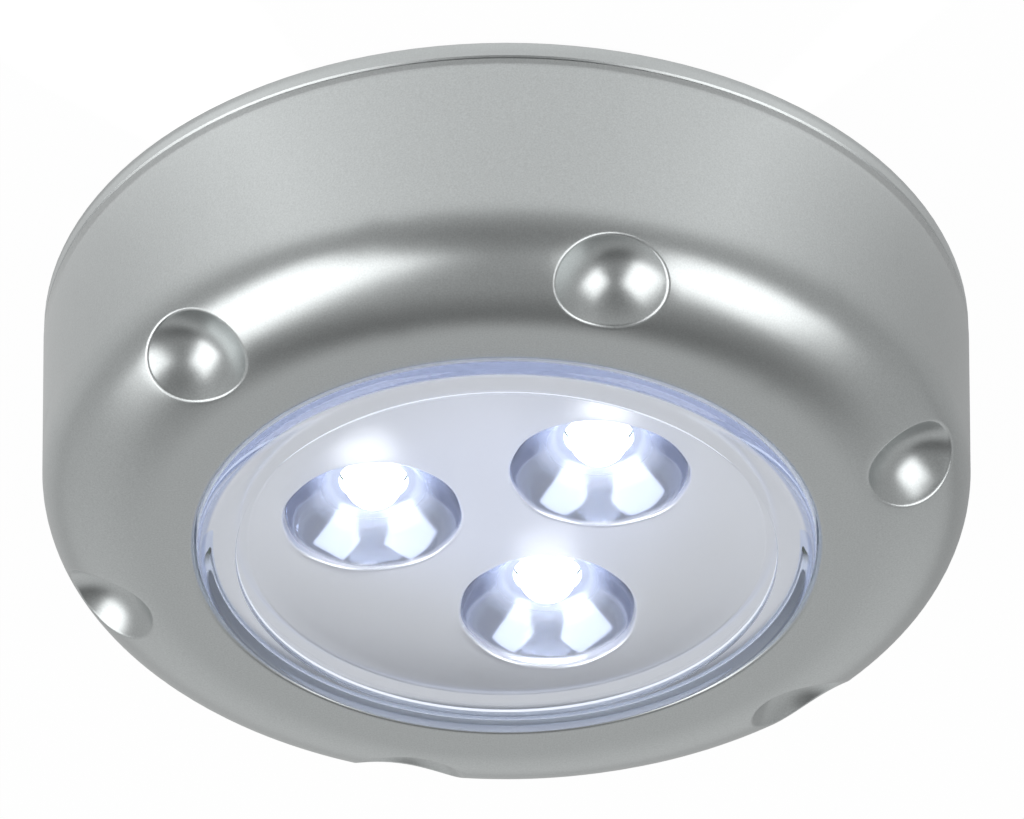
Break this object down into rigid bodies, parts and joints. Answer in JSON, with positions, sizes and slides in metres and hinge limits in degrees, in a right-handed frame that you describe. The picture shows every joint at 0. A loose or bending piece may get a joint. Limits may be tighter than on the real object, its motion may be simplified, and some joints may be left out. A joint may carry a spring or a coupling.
{
  "type": "puck light",
  "caption": "Round battery puck light with a push-to-switch clear lens, a fluted cup reflector and a twist-off ceiling mounting plate.",
  "frame": {"origin": "middle of the adhesive pad's outer face, which sits on the ceiling", "axes": "+Z into the ceiling along the light's axis, the lens looks along -Z; X runs along the cells"},
  "size_m": [0.078, 0.078, 0.0236],
  "materials": {
    "silver_paint": "metallic silver paint on moulded plastic",
    "plate_plastic": "satin grey moulding",
    "pad_foam": "foam tape",
    "clear_plastic": "clear polished",
    "reflector_silver": "vacuum metallised",
    "carrier_plastic": "moulded",
    "cell_can": "plain sleeve",
    "contact_metal": "nickel plated",
    "screw_steel": "zinc plated",
    "board": "solder mask",
    "lamp_epoxy": "clear resin with a yellow phosphor",
    "resistor_body": "ceramic",
    "switch_plastic": "moulded",
    "plunger_plastic": "moulded"
  },
  "bodies": {
    "base": {"mounting_plate": "plate_plastic", "adhesive_pad": "pad_foam"},
    "lamp_body": {"housing": "silver_paint", "battery_carrier": "carrier_plastic", "aaa_cell_1": "cell_can", "aaa_cell_2": "cell_can", "aaa_cell_3": "cell_can", "positive_terminal": "contact_metal", "negative_terminal": "contact_metal", "link_plate_1": "contact_metal", "link_plate_2": "contact_metal", "cell_spring_1": "contact_metal", "cell_spring_2": "contact_metal", "cell_spring_3": "contact_metal", "carrier_screws": "screw_steel", "circuit_board": "board", "led_1": "lamp_epoxy", "led_2": "lamp_epoxy", "led_3": "lamp_epoxy", "resistors": "resistor_body", "board_screws": "screw_steel", "switch_body": "switch_plastic", "switch_spring": "contact_metal"},
    "push_head": {"lens": "clear_plastic", "reflector": "reflector_silver", "switch_plunger": "plunger_plastic"}
  },
  "joints": [
    {"name": "twist", "type": "hinge", "parent": "base", "child": "lamp_body", "pos_m": [0, 0, 0], "axis": [0, 0, 1], "range_deg": [0, 22]},
    {"name": "push", "type": "slide", "parent": "lamp_body", "child": "push_head", "axis": [0, 0, 1], "range_m": [0, 0.001], "stiffness_N_per_m": 1000, "springref_m": -0.002, "deforming": ["switch_spring"]}
  ]
}
